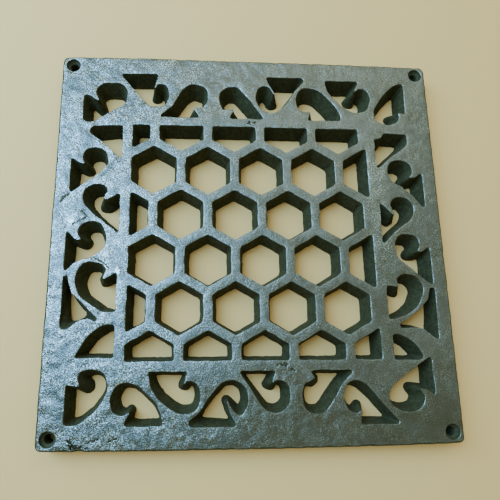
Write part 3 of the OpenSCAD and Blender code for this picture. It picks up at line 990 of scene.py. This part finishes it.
def face_colour(tool, look, where, depth, tops, lip):
    """The face's colour at each place: graphite with a painted cool reflection at the left, browned, bright
    at grains and lips as bared metal and painted glints and highlights, darker at the bottom as painted
    shade, and near white on the polished bosses as a painted highlight.

    tops and lip are the masks of the grains' tops and of the lips that are painted bright.
    """
    x, y, _ = tool.add("ShaderNodeSeparateXYZ", {0: where}).outputs
    # Painted reflection: the face turns bluer towards the left, where the cool window light is reflected
    left_reflection = tool.spread(x, *LEFT_REFLECTION_SIDE)
    colour = tool.mix(left_reflection, (*look.iron, 1), (*look.left_reflection, 1))
    browned = tool.times(tool.patches(where, *BROWN_PATCHES), tool.spread(left_reflection, *BROWN_AT_LEFT))
    colour = tool.mix(browned, colour, (*look.brown, 1))
    # Painted glints: grain tops are painted bright, partly as bared metal, nearly three times as strongly at
    # the left
    bright = tool.times(tool.patches(where, *GLINT_AND_BARE_PATCHES), tool.spread(left_reflection, *GLINTS_AT_LEFT))
    off_x, off_y = [
        tool.math("ABSOLUTE", tool.math("SUBTRACT", one, middle)) for one, middle in zip((x, y), GLINT_BAR)]
    bar = tool.times(tool.spread(off_x, *GLINT_BAR_WIDTH), tool.spread(off_y, *GLINT_BAR_LENGTH))
    bright = tool.math("ADD", bright, tool.times(bar, tool.patches(where, *GLINT_BAR_PATCHES)))
    colour = tool.mix(tool.math("MULTIPLY", tops, bright, clamp=True), colour, (*look.bright, 1))
    # Painted highlight: the lips are brightened, partly as wear
    colour = tool.mix(tool.times(lip, LIP_WEAR_AND_HIGHLIGHT), colour, (*look.bright, 1))
    # Painted shade: the face darkens towards the bottom edge, less at the left
    bottom_shade = tool.times(tool.spread(y, *BOTTOM_SHADE_MARGIN), tool.spread(left_reflection, *BOTTOM_SHADE_AT_LEFT))
    colour = tool.mix(bottom_shade, colour, (*look.wall_black_and_shade, 1))
    # Painted highlight: the bosses turn near white
    return tool.mix(tool.spread(depth, *BOSS_HIGHLIGHT_HEIGHTS), colour, (*look.polished, 1))


def iron_finish(look):
    """Antique iron: waxed graphite over sand-cast grain, bright at the grains' tops and the lips as bared
    metal and painted glints and highlights, bluer at the left as a painted reflection, with the walls'
    unpolished black and painted shade on the walls, the rim, the cracks and the bottom margin.
    """
    material = bpy.data.materials.new("antique_iron")
    material.use_nodes = True
    tree = material.node_tree
    tree.nodes.clear()
    tool = Nodes(tree)
    place = tool.add("ShaderNodeTexCoord").outputs["Object"]
    where = tool.add("ShaderNodeVectorMath", {0: place, "Scale": 1 / MM}, operation="SCALE").outputs[0]
    depth, edge = [
        tool.add("ShaderNodeAttribute", attribute_name=name).outputs["Fac"] for name in ("depth", "edge")]
    grain = tool.add("ShaderNodeGroup", {"Place": where, "Fineness": FINENESS}, node_tree=sand_grain())
    edge_masks = tool.add(
        "ShaderNodeGroup", {"Place": where, "Depth": depth, "Edge": edge}, node_tree=face_and_lip_masks())
    on_face = edge_masks.outputs["Face"]
    face = face_colour(tool, look, where, depth, grain.outputs["Tops"], edge_masks.outputs["Lip"])
    # The walls' colour, their unpolished black and painted shade, with darker caked patches
    dark = tuple(DARKER_PATCH_SHARE * value for value in look.wall_black_and_shade)
    wall = tool.mix(tool.patches(where, *CAKED_PATCHES), (*dark, 1), (*look.wall_black_and_shade, 1))
    gloss = tool.patches(
        where, GLOSS_NOISE, (*GLOSS_SPREAD, look.gloss + GLOSS_FROM, look.gloss + GLOSS_TO))
    wall_rough = tool.math("SUBTRACT", WALL_ROUGH, tool.times(on_face, WALL_ROUGH))
    bump = tool.add(
        "ShaderNodeBump", {"Strength": 1.0, "Distance": GRAIN_HEIGHT, "Height": grain.outputs["Height"]})
    shader = tool.add("ShaderNodeBsdfPrincipled", {
        "Base Color": tool.mix(on_face, wall, face),
        "Roughness": tool.math("MAXIMUM", gloss, wall_rough),
        "Metallic": tool.spread(on_face, 0.0, 1.0, *METALLIC),
        "Coat Weight": tool.times(on_face, WAX_COAT),
        "Coat Roughness": WAX_ROUGH,
        "Specular IOR Level": IRON_SPECULAR,
        "Normal": bump.outputs[0],
    })
    tool.add("ShaderNodeOutputMaterial", {"Surface": shader.outputs[0]})
    return material


class GRILLE_OT_casting(bpy.types.Operator):
    """Builds the one-piece casting round the frame's openings and gives it its finish"""

    bl_idname = "grille.casting"
    bl_label = "Casting"

    def execute(self, context):
        points, quads, triangles, depth, edge = casting_surface(context.scene.grille_casting)
        # The depth attribute also carries painted shade on the rim and in cracks and hollows, and the
        # bosses' painted highlight
        piece = piece_from(PIECE, points, quads, triangles, {"depth": depth, "edge": edge})
        piece.data.materials.append(iron_finish(context.scene.grille_finish))
        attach(piece, "root")
        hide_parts(PLATE)
        print("casting:", 2 * len(quads) + len(triangles), "triangles")
        return {"FINISHED"}


# The photograph's camera, fitted to the plate's corners and cells: its place, turn about X, Y and Z, lens
# and sensor in mm, shift, and how near and far it sees, in metres
CAMERA_PLACE = (-24.80 * MM, -65.71 * MM, 206.28 * MM)
CAMERA_TURN = (0.16553, -0.05001, -0.00856)
CAMERA_LENS = 25.344
CAMERA_SENSOR = 36
CAMERA_SHIFT = (0.0460, 0.0865)
CAMERA_SEES = (0.01, 20)
# Each light's place, its width and height, and its colour
WINDOW = (-0.52, 0.26, 0.62), (0.5, 0.9), (0.32, 0.64, 1.0)
SKYLIGHT = (0.12, 0.62, 0.62), (0.8, 0.4), (0.9, 1.0, 0.88)
ROOM_COLOUR = (0.97, 1.0, 0.60)
# Half the floor's side, in metres, its gap to the casting, in mm, and its roughness
FLOOR_HALF = 3.0
FLOOR_GAP = 0.01
FLOOR_ROUGH = 0.75


def area_light(name, power, place, size, colour):
    """A rectangular light of a power, at a place, turned to the casting's middle."""
    lamp = bpy.data.lights.new(name, "AREA")
    lamp.shape = "RECTANGLE"
    lamp.size, lamp.size_y = size
    lamp.energy = power
    lamp.color = colour
    light = bpy.data.objects.new(name, lamp)
    light.location = place
    light.rotation_euler = (-Vector(place)).to_track_quat("-Z", "Y").to_euler()
    bpy.context.scene.collection.objects.link(light)


def floor_plane(colour):
    """A plain matt floor under the casting, and its material."""
    square = np.array([(-1, -1, 0), (1, -1, 0), (1, 1, 0), (-1, 1, 0)]) * (FLOOR_HALF / MM)
    square = square - (0, 0, FLOOR_GAP)
    floor = piece_from("floor", square, np.array([[0, 1, 2, 3]]), np.empty((0, 3), int), {})
    material = bpy.data.materials.new("floor")
    material.use_nodes = True
    shader = material.node_tree.nodes["Principled BSDF"]
    shader.inputs["Base Color"].default_value = (*colour, 1)
    shader.inputs["Roughness"].default_value = FLOOR_ROUGH
    floor.data.materials.append(material)


def room_light(strength):
    """The room's even light on the scene's world."""
    world = bpy.data.worlds.new("room")
    world.use_nodes = True
    backdrop = world.node_tree.nodes["Background"]
    backdrop.inputs["Color"].default_value = (*ROOM_COLOUR, 1)
    backdrop.inputs["Strength"].default_value = strength
    bpy.context.scene.world = world


def photo_camera():
    """The camera at the photograph's place, as the scene's camera."""
    lens = bpy.data.cameras.new("camera")
    lens.sensor_width = CAMERA_SENSOR
    lens.lens = CAMERA_LENS
    lens.shift_x, lens.shift_y = CAMERA_SHIFT
    lens.clip_start, lens.clip_end = CAMERA_SEES
    camera = bpy.data.objects.new("camera", lens)
    camera.location = CAMERA_PLACE
    camera.rotation_euler = Euler(CAMERA_TURN)
    bpy.context.scene.collection.objects.link(camera)
    bpy.context.scene.camera = camera


class GRILLE_OT_stage(bpy.types.Operator):
    """Sets the pale floor, the soft lights and the camera at the photograph's viewing angle"""

    bl_idname = "grille.stage"
    bl_label = "Stage"

    def execute(self, context):
        light = context.scene.grille_stage
        floor_plane(light.floor)
        area_light("window", light.window, *WINDOW)
        area_light("skylight", light.skylight, *SKYLIGHT)
        room_light(light.room)
        photo_camera()
        return {"FINISHED"}


class GRILLE_PT_panel(bpy.types.Panel):
    """Lists the casting and the stage with their values"""

    bl_label = "Ventilation Grille"
    bl_idname = "GRILLE_PT_panel"
    bl_space_type = "VIEW_3D"
    bl_region_type = "UI"
    bl_category = "Grille"

    def draw(self, context):
        scene = context.scene
        for operator, groups in (
            (GRILLE_OT_casting, (scene.grille_casting, scene.grille_finish)),
            (GRILLE_OT_stage, (scene.grille_stage,)),
        ):
            box = self.layout.box()
            for group in groups:
                for name in group.__annotations__:
                    box.prop(group, name)
            box.operator(operator.bl_idname)


CLASSES = (CastingSizes, FinishLook, StageLight, GRILLE_OT_casting, GRILLE_OT_stage, GRILLE_PT_panel)


def register():
    """Registers the classes and hangs their values on the scene."""
    for made in CLASSES:
        bpy.utils.register_class(made)
    bpy.types.Scene.grille_casting = PointerProperty(type=CastingSizes)
    bpy.types.Scene.grille_finish = PointerProperty(type=FinishLook)
    bpy.types.Scene.grille_stage = PointerProperty(type=StageLight)


def unregister():
    """Takes the values and the classes away again."""
    del bpy.types.Scene.grille_stage
    del bpy.types.Scene.grille_finish
    del bpy.types.Scene.grille_casting
    for made in reversed(CLASSES):
        bpy.utils.unregister_class(made)


def main():
    """Builds the casting and the stage."""
    register()
    bpy.ops.grille.casting()
    bpy.ops.grille.stage()


if __name__ == "__main__":
    main()
